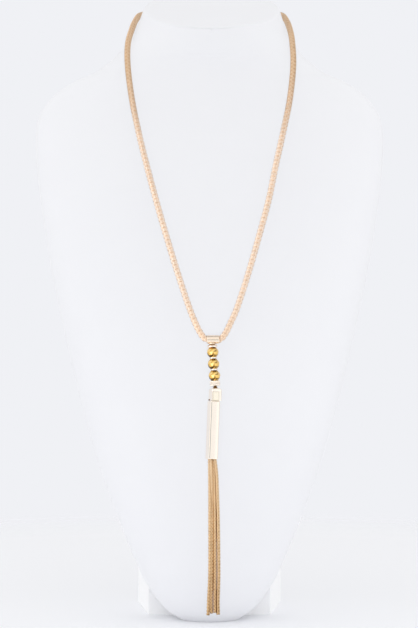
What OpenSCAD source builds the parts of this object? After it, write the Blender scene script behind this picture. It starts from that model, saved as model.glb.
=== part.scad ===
/* [Chain] */
// Diameter of the braided mesh chain
chain_d = 4.5; // [3.5:0.1:4.6]

/* [Bail] */
// Length of the tube that the chain runs through
bail_l = 8.6; // [6:0.1:10]
// Wall of the bail's tube
bail_wall = 0.4; // [0.3:0.05:0.8]

/* [Beads] */
// Widest diameter of a faceted bead
bead_d = 8.4; // [6:0.1:8.6]
// Height of a faceted bead along its pin
bead_h = 7; // [5:0.1:7.2]
// Sides of a faceted bead
bead_sides = 10; // [8:1:16]
// Diameter of the thin spacer above each bead
spacer_d = 5.5; // [4:0.1:7]
// Diameter of the wider spacer under the bail
top_spacer_d = 7.4; // [5.5:0.1:8]
// Thickness of a spacer
spacer_t = 0.95; // [0.6:0.05:1.2]
// Diameter of the stone-set rondelle under the beads
rondelle_d = 7.2; // [5:0.1:8]
// Height of the rondelle
rondelle_h = 3.3; // [2.5:0.1:3.6]

/* [Bar] */
// Width across the flats of the square bar
bar_w = 6.8; // [6.5:0.1:7.1]
// Length of the bar below its cap
bar_l = 40; // [30:1:45]
// Wall of the hollow bar
bar_wall = 0.6; // [0.4:0.1:0.8]
// Turn of the bar about its own length
bar_turn = 21; // [0:1:45]
// Height of the cap on the bar
cap_h = 9; // [7:0.5:10]

/* [Tassel] */
// Length of the chain tassel below the bar
tassel_l = 108.5; // [60:0.5:109]

/* [Neck bust] */
// Width of the rear foot at its back edge
foot_w = 108; // [90:1:130]
// Width of the rear foot at the bust
foot_front_w = 88; // [70:1:90]

/* [Hidden] */

// Clearance between hard pieces, and around the chain where it runs through metal.
gap = 0.1;
chain_gap = 0.35;
curve_fn = 48;
// Length by which a cutter runs past what it cuts.
past = 1;

gold = [0.86, 0.68, 0.46];
pale_gold = [0.93, 0.85, 0.73];
amber_gold = [0.85, 0.6, 0.16];
bust_white = [0.93, 0.93, 0.95];

// One row for each level of the bust, from the table up to the cut neck:
// level, half width, depth of the widest line, of the front and of the back,
// fullness of the front and of the back, and slope of the level towards the front.
LEVEL = 0;
HALF = 1;
EDGE = 2;
FRONT = 3;
BACK = 4;
FRONT_FULL = 5;
BACK_FULL = 6;
SLOPE = 7;
BUST = [
    [0, 20, -24, -38, -10, 2, 3, 0],
    [6, 30, -22, -44, -7.5, 2, 3.5, 0],
    [14, 37.5, -20, -49, -6.5, 2.1, 4, 0],
    [28, 47, -18, -54, -6, 2.2, 4.5, 0],
    [42, 53.5, -16, -56.5, -6, 2.3, 5, 0],
    [70, 65.5, -12, -58.5, -3, 2.4, 5, 0],
    [112, 81, -6, -58.5, 6, 2.5, 5, 0],
    [155, 93.5, 0, -56, 17, 2.6, 5, 0],
    [199, 104.5, 4, -51.5, 28, 2.6, 5, 0],
    [250, 115.5, 6, -45, 38, 2.5, 5, 0],
    [300, 123.5, 8, -37.5, 45, 2.3, 5, 0],
    [335, 127, 10, -29.5, 49, 2, 4.5, 0],
    [358, 126, 11.5, -23.5, 51.5, 1.75, 4, 0],
    [372, 119, 13, -20, 53.5, 1.55, 3.5, 0],
    [382, 109, 14, -18, 55, 1.4, 3, 0],
    [389, 98, 15.5, -17, 57, 1.35, 2.6, 0],
    [395, 84.5, 17, -16.5, 59, 1.4, 2.3, 0],
    [403, 74, 18, -17, 61.5, 1.6, 2.1, 0.06],
    [413, 64.5, 19, -19, 63.5, 1.8, 2, 0.2],
    [427, 55.8, 20.5, -21.5, 65.5, 1.95, 2, 0.34],
    [443.5, 49.8, 21.5, -23, 65.5, 2, 2, 0.48]
];
// The neck stands a little to the right of the chest's middle, from one level up to the other.
neck_shift = 1.7;
neck_shift_from = 400;
neck_shift_to = 450;
bust_sides = 48;
bust_steps = 2;

// Side outline of the rear foot, as depth and height: its front follows the bust's back.
foot_front = -5.2;
foot_back = 59;
foot_h = 118;
FOOT_SIDE = [
    [foot_front, 0], [foot_back, 0], [foot_back, 20], [26, foot_h],
    [8.2, foot_h], [-2.2, 70], [foot_front, 48]
];

// Route of the chain, from one end at the nape, down to the bail and back up.
ROUTE = [
    [-8, 69, 450], [-11.5, 69, 450], [-21, 65.5, 449.5], [-36, 57, 447], [-48.7, 43.5, 442.6],
    [-53.6, 30, 437.7], [-57.3, 14.5, 426], [-59.5, 2.5, 413.5], [-59, -7.5, 396], [-55.5, -18, 371],
    [-50.5, -26, 347], [-44.5, -33, 323], [-38, -39, 299], [-30.5, -44, 273], [-22.5, -48, 247],
    [-14.5, -51.5, 223], [-9.5, -53.5, 210.5], [-6.3, -54.6, 204.3], [-3.8, -55.4, 201.1],
    [-1.3, -55.9, 199.8], [2.5, -55.9, 199.7], [6.3, -55.9, 199.8], [8.8, -55.4, 201.1],
    [11.3, -54.6, 204.5], [14.5, -53.5, 211], [19.5, -51.5, 222.5], [27.5, -48, 247],
    [35, -44, 273], [42, -39, 299], [47, -33, 323], [52.5, -26, 347], [57.5, -18, 371],
    [60.5, -7.5, 396], [60.5, 3, 413.5], [59.3, 14.5, 426], [56.1, 30.1, 437.4], [51, 43.5, 442.6],
    [37.8, 57.6, 447], [21.5, 66, 449.5], [11.5, 69, 450], [8, 69, 450]
];
chain_sides = 10;
chain_steps = 2;
neck_axis_y = 15;
bail_row = 20;

clasp_at = [0, 69, 450];
clasp_l = 20;
clasp_d = 6.4;
clasp_edge = 0.6;
socket_deep = 2.6;
socket_d = chain_d + 2 * chain_gap;

bail_rise = 0.2;
bail_at = ROUTE[bail_row] + [0, 0, bail_rise];
bail_bore_d = chain_d + 2 * chain_gap;
bail_d = bail_bore_d + 2 * bail_wall;
saddle_top_d = 7.6;
saddle_end_d = 5.4;
saddle_sink = 0.6;
saddle_h = 1.35;
saddle_to = bail_d / 2 + saddle_h;

// Each hanging stretch leans to the right and towards the front, in degrees.
string_shift = [-0.9, 0, 0];
string_from = bail_at + string_shift;
string_lean = [4.1, 6.9];
cap_lean = [-1, 3.6];
bar_lean = [-2.2, 3.6];

// One row for each ring of a bead: level and radius as parts of its height and diameter,
// and whether the ring is turned by half a facet.
RING_LEVEL = 0;
RING_RADIUS = 1;
RING_TURNED = 2;
BEAD = [
    [-0.5, 0.26, 0],
    [-0.28, 0.42, 1],
    [0, 0.5, 0],
    [0.28, 0.42, 1],
    [0.5, 0.26, 0]
];

rondelle_rim_h = 0.7;
rondelle_hollow = 0.6;

pin_d = 1;
pin_bore_d = 1.3;
pin_from = bail_d / 2 + 1.5 * gap;
eye_r = 1.25;
eye_wire_r = 0.4;
spacer_pitch = spacer_t + bead_h + 2 * gap;
first_spacer = saddle_to + gap + spacer_t / 2;
first_bead = first_spacer + spacer_t / 2 + gap + bead_h / 2;
rondelle_at = first_spacer - spacer_t / 2 + 3 * spacer_pitch + rondelle_h / 2;
eye_at = rondelle_at + rondelle_h / 2 + 2 * gap + eye_r + eye_wire_r;
cross_r = 0.4;
cross_at = eye_at + eye_r - eye_wire_r - cross_r - gap;

cap_from = string_from + cross_at * hang(string_lean);
cap_w = bar_w + 0.3;
cap_round = 1.1;
cap_above = 0.45;
recess_w = 4.2;
recess_deep = 2.4;
cap_wall = 0.9;
plug_d = 2.8;
plug_l = 5;
bar_shift = [-0.85, 0, 0];
bar_from = cap_from + (cap_h - cap_above + 2 * gap) * hang(cap_lean) + bar_shift;
bar_end = bar_from + bar_l * hang(bar_lean);
bar_round = 0.5;

// One row for each level of the tassel: depth below the bar's end as a part of its length,
// shift of its middle across and back, half its width and thickness, and its turn.
BELOW = 0;
ACROSS = 1;
BEHIND = 2;
HALF_W = 3;
HALF_T = 4;
TURN = 5;
TASSEL = [
    [-0.055, 0.2, 0.4, 2.5, 2.5, 21],
    [-0.005, 0, 0, 2.5, 2.5, 21],
    [0.03, 0.5, 0, 3, 2.5, 15],
    [0.09, 0.8, 0.2, 3.3, 2.4, 8],
    [0.26, 1.1, 0.8, 3.6, 2.2, 0],
    [0.37, 1.5, 1.2, 3.9, 1.9, 0],
    [0.71, 1.8, 1.8, 4.2, 1.6, 0],
    [0.9, 1.2, 2, 4.4, 1.5, 0],
    [1, 1, 2, 4.6, 1.4, 0]
];
tassel_sides = 20;
tassel_steps = 2;
tassel_full = 3;

function unit(v) = v / norm(v);

// Direction straight down a stretch that leans to the right and to the front.
function hang(lean) = [
    cos(lean[1]) * sin(lean[0]),
    -sin(lean[1]),
    -cos(lean[1]) * cos(lean[0])
];

// Value between the rows of a table or route, on a smooth curve through every row.
function smooth(rows, t) =
    let (
        last = len(rows) - 1,
        i = max(0, min(floor(t), last - 1)),
        f = t - i,
        a = rows[max(i - 1, 0)],
        b = rows[i],
        c = rows[i + 1],
        d = rows[min(i + 2, last)]
    )
    b + 0.5 * f * (c - a + f * (2 * a - 5 * b + 4 * c - d + f * (3 * (b - c) + d - a)));

// 0 up to the first value, 1 from the second on, and smooth between them.
function ease(value, from, to) =
    let (f = max(0, min(1, (value - from) / (to - from)))) f * f * (3 - 2 * f);

function stations(rows, steps) = [for (i = [0 : (len(rows) - 1) * steps]) i / steps];

// Point of a rounded outline: full 2 is an ellipse, and more is squarer.
function rounded(angle, half, full) = half * sign(cos(angle)) * pow(abs(cos(angle)), 2 / full);

function bust_ring(row) = [
    for (i = [0 : bust_sides - 1])
        let (
            angle = 360 * i / bust_sides,
            front = sin(angle) >= 0,
            half_x = rounded(angle, row[HALF], front ? row[FRONT_FULL] : row[BACK_FULL]),
            x = half_x + neck_shift * ease(row[LEVEL], neck_shift_from, neck_shift_to),
            reach = front ? row[FRONT] - row[EDGE] : row[BACK] - row[EDGE],
            y = row[EDGE] + reach * abs(sin(angle))
        )
        [x, y, row[LEVEL] + row[SLOPE] * (y - row[EDGE])]
];

function route_ring(route, t, r, sides) =
    let (
        p = smooth(route, t),
        near = 0.02,
        along = unit(smooth(route, t + near) - smooth(route, t - near)),
        side = unit(cross(along, [p[0], p[1] - neck_axis_y, 0])),
        out = cross(side, along)
    )
    [for (i = [0 : sides - 1]) p + r * (cos(360 * i / sides) * side + sin(360 * i / sides) * out)];

function tassel_ring(row) = [
    for (i = [0 : tassel_sides - 1])
        let (
            angle = 360 * i / tassel_sides,
            x = rounded(angle, row[HALF_W], tassel_full),
            y = rounded(90 - angle, row[HALF_T], tassel_full)
        )
        bar_end + [
            row[ACROSS] + x * cos(row[TURN]) - y * sin(row[TURN]),
            row[BEHIND] + x * sin(row[TURN]) + y * cos(row[TURN]),
            -row[BELOW] * tassel_l
        ]
];

// Closed solid through rings of points that all have the same count.
module loft(rings) {
    n = len(rings[0]);
    last = len(rings) - 1;
    sides = [
        for (r = [0 : last - 1], i = [0 : n - 1])
            let (a = r * n + i, b = r * n + (i + 1) % n)
            each [[a, b, b + n], [a, b + n, a + n]]
    ];
    low = [for (i = [n - 1 : -1 : 0]) i];
    high = [for (i = [0 : n - 1]) last * n + i];
    polyhedron([for (ring = rings) each ring], concat(sides, [low, high]));
}

// Places what hangs from a point, with its own down along -Z.
module hung(from, lean, turn = 0) {
    translate(from) rotate([-lean[1], -lean[0], 0]) rotate([0, 0, turn]) children();
}

module on_string(down) {
    hung(string_from, string_lean, bar_turn) translate([0, 0, -down]) children();
}

module rounded_square(w, r) {
    square([w - 2 * r, w], center = true);
    square([w, w - 2 * r], center = true);
    for (x = [-1, 1], y = [-1, 1])
        translate([x, y] * (w / 2 - r)) circle(r, $fn = curve_fn);
}

module neck_bust() {
    color(bust_white)
        loft([for (t = stations(BUST, bust_steps)) bust_ring(smooth(BUST, t))]);
}

module bust_foot() {
    color(bust_white)
        intersection() {
            linear_extrude(foot_h)
                polygon([
                    [-foot_front_w / 2, foot_front], [foot_front_w / 2, foot_front],
                    [foot_w / 2, foot_back], [-foot_w / 2, foot_back]
                ]);
            rotate([90, 0, 90])
                linear_extrude(foot_w, center = true) polygon(FOOT_SIDE);
        }
}

module chain() {
    color(gold)
        loft([
            for (t = stations(ROUTE, chain_steps))
                route_ring(ROUTE, t, chain_d / 2, chain_sides)
        ]);
}

module clasp() {
    color(gold)
        translate(clasp_at) rotate([0, 90, 0])
            difference() {
                rotate_extrude($fn = curve_fn)
                    polygon([
                        [0, -clasp_l / 2],
                        [clasp_d / 2 - clasp_edge, -clasp_l / 2],
                        [clasp_d / 2, -clasp_l / 2 + clasp_edge],
                        [clasp_d / 2, clasp_l / 2 - clasp_edge],
                        [clasp_d / 2 - clasp_edge, clasp_l / 2],
                        [0, clasp_l / 2]
                    ]);
                for (end = [-1, 1])
                    translate([0, 0, end * clasp_l / 2])
                        cylinder(d = socket_d, h = 2 * socket_deep, center = true, $fn = curve_fn);
            }
}

// Tube on the chain, with the tapered seat soldered under it that holds the pin.
module bail() {
    color(pale_gold)
        difference() {
            union() {
                translate(bail_at) rotate([0, 90, 0])
                    cylinder(d = bail_d, h = bail_l, center = true, $fn = curve_fn);
                on_string(saddle_to)
                    cylinder(
                        d1 = saddle_end_d, d2 = saddle_top_d,
                        h = saddle_h + saddle_sink, $fn = curve_fn
                    );
            }
            translate(bail_at) rotate([0, 90, 0])
                cylinder(d = bail_bore_d, h = 2 * bail_l, center = true, $fn = curve_fn);
            on_string(saddle_to + past)
                cylinder(d = pin_bore_d, h = saddle_to + past - pin_from + gap, $fn = curve_fn);
        }
}

module eye_pin() {
    color(gold) {
        on_string(eye_at - eye_r)
            cylinder(d = pin_d, h = eye_at - eye_r - pin_from, $fn = curve_fn);
        on_string(eye_at) rotate([90, 0, 0])
            rotate_extrude($fn = curve_fn) translate([eye_r, 0]) circle(eye_wire_r, $fn = curve_fn);
    }
}

module spacer(number) {
    color(pale_gold)
        on_string(first_spacer + (number - 1) * spacer_pitch)
            difference() {
                cylinder(
                    d = number == 1 ? top_spacer_d : spacer_d, h = spacer_t,
                    center = true, $fn = curve_fn
                );
                cylinder(d = pin_bore_d, h = 2 * spacer_t, center = true, $fn = curve_fn);
            }
}

function bead_ring(row) = [
    for (i = [0 : bead_sides - 1])
        let (angle = 360 * (i + row[RING_TURNED] / 2) / bead_sides)
        [
            bead_d * row[RING_RADIUS] * cos(angle),
            bead_d * row[RING_RADIUS] * sin(angle),
            bead_h * row[RING_LEVEL]
        ]
];

module bead(number) {
    color(amber_gold)
        on_string(first_bead + (number - 1) * spacer_pitch)
            difference() {
                loft([for (row = BEAD) bead_ring(row)]);
                cylinder(d = pin_bore_d, h = 2 * bead_h, center = true, $fn = curve_fn);
            }
}

// Disc with two rims and a narrower waist where its small stones sit.
module rondelle() {
    r = rondelle_d / 2;
    h = rondelle_h / 2;
    waist_h = h - rondelle_rim_h;
    color(pale_gold)
        on_string(rondelle_at)
            rotate_extrude($fn = curve_fn)
                polygon([
                    [pin_bore_d / 2, -h], [r - rondelle_hollow, -h], [r, -h + rondelle_hollow / 2],
                    [r, -waist_h], [r - rondelle_hollow, -waist_h],
                    [r - rondelle_hollow, waist_h], [r, waist_h],
                    [r, h - rondelle_hollow / 2], [r - rondelle_hollow, h], [pin_bore_d / 2, h]
                ]);
}

module cap_outline() {
    translate([-cap_w / 2, cap_above - cap_h]) square([cap_w, cap_h - cap_round]);
    translate([-cap_w / 2 + cap_round, cap_above - cap_round]) square([cap_w - 2 * cap_round, cap_round]);
    for (x = [-1, 1])
        translate([x * (cap_w / 2 - cap_round), cap_above - cap_round]) circle(cap_round, $fn = curve_fn);
}

// Square cap with rounded shoulders, a crossbar in its top for the pin's eye,
// and a plug that the bar slides over.
module bar_cap() {
    color(pale_gold)
        hung(cap_from, cap_lean, bar_turn) {
            difference() {
                intersection() {
                    rotate([90, 0, 0])
                        linear_extrude(2 * cap_w, center = true) cap_outline();
                    rotate([90, 0, 90])
                        linear_extrude(2 * cap_w, center = true) cap_outline();
                }
                translate([-recess_w / 2, -(cap_w / 2 - cap_wall), cap_above - recess_deep])
                    cube([recess_w, cap_w - 2 * cap_wall, recess_deep + past]);
            }
            rotate([90, 0, 0])
                cylinder(r = cross_r, h = cap_w - cap_wall, center = true, $fn = curve_fn);
            translate([0, 0, cap_above - cap_h - plug_l])
                cylinder(d = plug_d, h = plug_l + past, $fn = curve_fn);
        }
}

module bar() {
    color(pale_gold)
        hung(bar_from, bar_lean, bar_turn)
            translate([0, 0, -bar_l])
                linear_extrude(bar_l)
                    difference() {
                        rounded_square(bar_w, bar_round);
                        square(bar_w - 2 * bar_wall, center = true);
                    }
}

module tassel() {
    color(gold)
        loft([for (t = stations(TASSEL, tassel_steps)) tassel_ring(smooth(TASSEL, t))]);
}

neck_bust();
bust_foot();
chain();
clasp();
bail();
eye_pin();
spacer(1);  // spacer_1
bead(1);  // bead_1
spacer(2);  // spacer_2
bead(2);  // bead_2
spacer(3);  // spacer_3
bead(3);  // bead_3
rondelle();
bar_cap();
bar();
tassel();
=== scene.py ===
"""Looks of a drop necklace on a neck bust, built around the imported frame."""
import math

import bmesh
import bpy
import numpy as np
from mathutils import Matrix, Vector


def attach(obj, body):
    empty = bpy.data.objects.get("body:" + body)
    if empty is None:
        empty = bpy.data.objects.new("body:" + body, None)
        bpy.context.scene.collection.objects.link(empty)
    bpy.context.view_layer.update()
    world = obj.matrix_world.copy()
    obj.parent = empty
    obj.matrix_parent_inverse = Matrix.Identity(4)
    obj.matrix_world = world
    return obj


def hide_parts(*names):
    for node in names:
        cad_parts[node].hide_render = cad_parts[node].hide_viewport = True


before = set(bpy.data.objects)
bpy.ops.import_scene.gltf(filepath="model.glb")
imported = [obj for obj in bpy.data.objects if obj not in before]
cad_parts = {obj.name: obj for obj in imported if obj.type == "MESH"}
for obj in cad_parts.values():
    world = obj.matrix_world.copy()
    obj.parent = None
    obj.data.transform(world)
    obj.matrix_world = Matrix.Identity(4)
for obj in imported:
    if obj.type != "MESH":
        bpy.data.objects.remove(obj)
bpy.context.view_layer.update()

MM = 0.001
TINY = 1e-9

# Camera: level, in front of the chest, framed as the photograph is
PHOTO_H = 628
CHEST_MM_PER_PX = 0.70
CHEST_Y = -50
CAMERA_DISTANCE = 1300
CAMERA_X = -0.35
CAMERA_Z = 217.7
CAMERA_CLIP = (0.05, 50)
SENSOR = 36

# Studio: a pale room, a tall soft light on each side and a small one in front. Each ramp of a room
# holds (place from 0 to 1, level), and its place runs from down to up, front to back or left to right
PALE = (0.871, 0.880, 0.913)
ROOM_UP = ((0.0, 1.08), (0.5, 0.57), (0.62, 0.56), (0.8, 0.91), (1.0, 1.14))
ROOM_BACK = ((0.0, 1.08), (0.5, 1.0), (1.0, 0.95))
# What the metal mirrors is a room of its own, pale at eye level and dimmer straight up and down
MIRROR_UP = (
    (0.0, 0.3), (0.02, 0.5), (0.06, 1.0), (0.146, 1.2), (0.41, 1.2), (0.5, 1.06),
    (0.587, 1.03), (0.75, 1.15), (0.933, 1.0), (0.976, 0.75), (1.0, 0.5),
)
MIRROR_BACK = (
    (0.0, 0.9), (0.067, 1.0), (0.13, 0.95), (0.206, 1.08), (0.37, 1.08), (0.5, 1.0), (0.75, 0.85),
    (1.0, 0.75),
)
MIRROR_SIDE = (
    (0.0, 0.72), (0.04, 0.95), (0.5, 1.0), (0.78, 0.96), (0.86, 1.02), (0.93, 1.0), (0.97, 0.8),
    (1.0, 0.7),
)
# Brighter panel of that room on the left
GLOW_SIDE = ((0.08, 0.0), (0.13, 1.0), (0.27, 1.0), (0.33, 0.0))
GLOW_BACK = ((0.3, 1.0), (0.45, 0.25))
GLOW_GAIN = 0.7
# Dark gaps in that room, straight ahead where the camera looks in: one at eye level, which draws
# the dark line along the bar, and one below it, which draws the line along the bail
GAP_SIDE = ((0.17, 0.0), (0.23, 1.0), (0.58, 1.0), (0.64, 0.0))
GAP_UP = ((0.48, 0.0), (0.495, 1.0), (0.56, 1.0), (0.575, 0.0))
LOW_GAP_SIDE = ((0.42, 0.0), (0.45, 1.0), (0.55, 1.0), (0.58, 0.0))
LOW_GAP_UP = ((0.16, 0.0), (0.21, 1.0), (0.28, 1.0), (0.31, 0.0))
GAP_BACK = ((0.4, 1.0), (0.5, 0.0))
GAP_DEPTH = 0.6
LOW_GAP_DEPTH = 0.42
LIT_MIDDLE = (0, 0, 240)
SOFTBOX = {"width": 700, "height": 1300, "distance": 1300, "azimuth": 75, "z": 330, "watts": 3.08}
FILL = {"size": 600, "distance": 1500, "z": 60, "watts": 2.45}
# Floor: a pale disc that fades out towards its rim
FLOOR_RADIUS = 700
FLOOR_FADE = (480, 686)
FLOOR_SIDES = 96
FLOOR_WHITE = (0.905, 0.912, 0.938)
FLOOR_ROUGHNESS = 0.8


def make_camera():
    data = bpy.data.cameras.new("camera")
    data.sensor_width = SENSOR
    data.lens = SENSOR * CAMERA_DISTANCE / (PHOTO_H * CHEST_MM_PER_PX)
    data.clip_start, data.clip_end = CAMERA_CLIP
    camera = bpy.data.objects.new("camera", data)
    camera.location = Vector((CAMERA_X, CHEST_Y - CAMERA_DISTANCE, CAMERA_Z)) * MM
    camera.rotation_euler = (math.radians(90), 0, 0)
    bpy.context.scene.collection.objects.link(camera)
    bpy.context.scene.camera = camera


# Nodes of materials and of the world
def node(tree, kind, **inputs):
    made = tree.nodes.new(kind)
    for name, value in inputs.items():
        made.inputs[name.replace("_", " ")].default_value = value
    return made


def color_ramp(tree, stops, value):
    """Colour that changes along stops of (place from 0 to 1, colour)."""
    made = tree.nodes.new("ShaderNodeValToRGB")
    elements = made.color_ramp.elements
    while len(elements) < len(stops):
        elements.new(0.5)
    for element, (at, color) in zip(elements, stops):
        element.position = at
        element.color = (*color, 1)
    tree.links.new(value, made.inputs["Fac"])
    return made.outputs["Color"]


def ramp(tree, stops, value):
    """Grey level that changes along stops of (place from 0 to 1, level)."""
    return color_ramp(tree, [(at, (level, level, level)) for at, level in stops], value)


def half_up(tree, value):
    """A direction's part from -1 to 1, carried to 0 to 1."""
    lift = node(tree, "ShaderNodeMapRange", From_Min=-1.0, From_Max=1.0)
    tree.links.new(value, lift.inputs["Value"])
    return lift.outputs["Result"]


def product(tree, a, b):
    times = tree.nodes.new("ShaderNodeVectorMath")
    times.operation = "MULTIPLY"
    tree.links.new(a, times.inputs[0])
    tree.links.new(b, times.inputs[1])
    return times.outputs["Vector"]


def one_plus(tree, value, factor):
    """1 + factor * value."""
    times = tree.nodes.new("ShaderNodeVectorMath")
    times.operation = "MULTIPLY_ADD"
    times.inputs[1].default_value = (factor, factor, factor)
    times.inputs[2].default_value = (1, 1, 1)
    tree.links.new(value, times.inputs[0])
    return times.outputs["Vector"]


def total(tree, a, b):
    plus = tree.nodes.new("ShaderNodeMath")
    plus.operation = "ADD"
    tree.links.new(a, plus.inputs[0])
    tree.links.new(b, plus.inputs[1])
    return plus.outputs[0]


def mirrored_room(tree, side, back, up):
    """Light of the room that the metal mirrors, by direction."""
    light = product(tree, ramp(tree, MIRROR_UP, up), ramp(tree, MIRROR_BACK, back))
    light = product(tree, light, ramp(tree, MIRROR_SIDE, side))
    glow = product(tree, ramp(tree, GLOW_SIDE, side), ramp(tree, GLOW_BACK, back))
    light = product(tree, light, one_plus(tree, glow, GLOW_GAIN))
    low_gap = product(tree, ramp(tree, LOW_GAP_SIDE, side), ramp(tree, LOW_GAP_UP, up))
    low_gap = product(tree, low_gap, ramp(tree, GAP_BACK, back))
    light = product(tree, light, one_plus(tree, low_gap, -LOW_GAP_DEPTH))
    gap = product(tree, ramp(tree, GAP_SIDE, side), ramp(tree, GAP_UP, up))
    gap = product(tree, gap, ramp(tree, GAP_BACK, back))
    return product(tree, light, one_plus(tree, gap, -GAP_DEPTH))


def make_world():
    """Three rooms: one that the camera sees, one that the metal mirrors, and one that lights the rest."""
    world = bpy.data.worlds.new("studio")
    bpy.context.scene.world = world
    world.use_nodes = True
    tree = world.node_tree
    tree.nodes.clear()
    link = tree.links.new
    place = node(tree, "ShaderNodeTexCoord")
    split = node(tree, "ShaderNodeSeparateXYZ")
    link(place.outputs["Generated"], split.inputs[0])
    side = half_up(tree, split.outputs["X"])
    back = half_up(tree, split.outputs["Y"])
    up = half_up(tree, split.outputs["Z"])
    room = node(tree, "ShaderNodeBackground")
    mirrored = node(tree, "ShaderNodeBackground")
    seen = node(tree, "ShaderNodeBackground", Color=(*PALE, 1))
    link(product(tree, ramp(tree, ROOM_UP, up), ramp(tree, ROOM_BACK, back)), room.inputs["Color"])
    link(mirrored_room(tree, side, back, up), mirrored.inputs["Color"])
    ray = node(tree, "ShaderNodeLightPath")
    metal_or_room = node(tree, "ShaderNodeMixShader")
    any_or_seen = node(tree, "ShaderNodeMixShader")
    out = node(tree, "ShaderNodeOutputWorld")
    link(ray.outputs["Is Glossy Ray"], metal_or_room.inputs[0])
    link(room.outputs[0], metal_or_room.inputs[1])
    link(mirrored.outputs[0], metal_or_room.inputs[2])
    link(ray.outputs["Is Camera Ray"], any_or_seen.inputs[0])
    link(metal_or_room.outputs[0], any_or_seen.inputs[1])
    link(seen.outputs[0], any_or_seen.inputs[2])
    link(any_or_seen.outputs[0], out.inputs["Surface"])
    bpy.context.scene.view_settings.view_transform = "Standard"


def area_light(name, place, size, watts, shadow):
    data = bpy.data.lights.new(name, "AREA")
    data.use_shadow = shadow
    data.shape = "RECTANGLE"
    data.size = size[0] * MM
    data.size_y = size[1] * MM
    data.energy = watts
    lamp = bpy.data.objects.new(name, data)
    lamp.location = Vector(place) * MM
    lamp.rotation_euler = (Vector(LIT_MIDDLE) - Vector(place)).to_track_quat("-Z", "Y").to_euler()
    bpy.context.scene.collection.objects.link(lamp)
    lamp.visible_camera = False
    lamp.visible_glossy = False


def make_lights():
    turn = math.radians(SOFTBOX["azimuth"])
    for side in (-1, 1):
        place = (
            side * SOFTBOX["distance"] * math.sin(turn),
            -SOFTBOX["distance"] * math.cos(turn),
            SOFTBOX["z"],
        )
        size = (SOFTBOX["width"], SOFTBOX["height"])
        area_light(f"softbox_{side}", place, size, SOFTBOX["watts"], shadow=False)
    place = (0, -FILL["distance"], FILL["z"])
    area_light("fill", place, (FILL["size"], FILL["size"]), FILL["watts"], shadow=True)


def make_floor():
    ring = []
    for i in range(FLOOR_SIDES):
        turn = 2 * math.pi * i / FLOOR_SIDES
        ring.append((FLOOR_RADIUS * MM * math.cos(turn), FLOOR_RADIUS * MM * math.sin(turn), 0))
    mesh = bpy.data.meshes.new("floor")
    mesh.from_pydata(ring, [], [list(range(FLOOR_SIDES))])
    floor = bpy.data.objects.new("floor", mesh)
    bpy.context.scene.collection.objects.link(floor)
    mat, tree, shader = new_material("pale_floor")
    shader.inputs["Base Color"].default_value = (*FLOOR_WHITE, 1)
    shader.inputs["Roughness"].default_value = FLOOR_ROUGHNESS
    place = node(tree, "ShaderNodeTexCoord")
    far = tree.nodes.new("ShaderNodeVectorMath")
    far.operation = "LENGTH"
    rim = node(tree, "ShaderNodeMapRange", From_Min=FLOOR_FADE[0] * MM, From_Max=FLOOR_FADE[1] * MM)
    rim.interpolation_type = "SMOOTHSTEP"
    clear = node(tree, "ShaderNodeBsdfTransparent")
    mix = node(tree, "ShaderNodeMixShader")
    link = tree.links.new
    link(place.outputs["Object"], far.inputs[0])
    link(far.outputs["Value"], rim.inputs["Value"])
    link(rim.outputs["Result"], mix.inputs[0])
    link(shader.outputs[0], mix.inputs[1])
    link(clear.outputs[0], mix.inputs[2])
    link(mix.outputs[0], tree.nodes["Material Output"].inputs["Surface"])
    mesh.materials.append(mat)
    floor.visible_glossy = False


# Materials
def new_material(name):
    mat = bpy.data.materials.new(name)
    mat.use_nodes = True
    tree = mat.node_tree
    return mat, tree, tree.nodes["Principled BSDF"]


def noise(tree, vector, scale, detail, roughness=0.5):
    """Cloudy pattern from 0 to 1."""
    made = node(tree, "ShaderNodeTexNoise", Scale=scale, Detail=detail, Roughness=roughness)
    tree.links.new(vector, made.inputs["Vector"])
    return made.outputs["Fac"]


def set_roughness(tree, shader, pattern, low, high):
    """Roughness that follows a pattern from low to high."""
    rough = node(tree, "ShaderNodeMapRange", To_Min=low, To_Max=high)
    tree.links.new(pattern, rough.inputs["Value"])
    tree.links.new(rough.outputs["Result"], shader.inputs["Roughness"])


def set_bump(tree, shader, pattern, strength, height):
    """Relief that follows a pattern, of a height in metres."""
    dents = node(tree, "ShaderNodeBump", Strength=strength, Distance=height)
    tree.links.new(pattern, dents.inputs["Height"])
    tree.links.new(dents.outputs["Normal"], shader.inputs["Normal"])


def set_two_tones(tree, shader, pattern, darker, lighter):
    """Colour that follows a pattern from darker to lighter. A mix node's colours are its inputs 6
    and 7 and its output 2."""
    tint = node(tree, "ShaderNodeMix")
    tint.data_type = "RGBA"
    tint.inputs[6].default_value = (*darker, 1)
    tint.inputs[7].default_value = (*lighter, 1)
    tree.links.new(pattern, tint.inputs[0])
    tree.links.new(tint.outputs[2], shader.inputs["Base Color"])


# Patterns of a metal: scale, detail and, for the grain, roughness
METAL_CLOUD = (220.0, 3.0)
METAL_CLOUD_SPAN = (0.3, 0.7)
METAL_GRAIN = (3000.0, 4.0, 0.6)
METAL_GRAIN_HEIGHT = 0.00003


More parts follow.
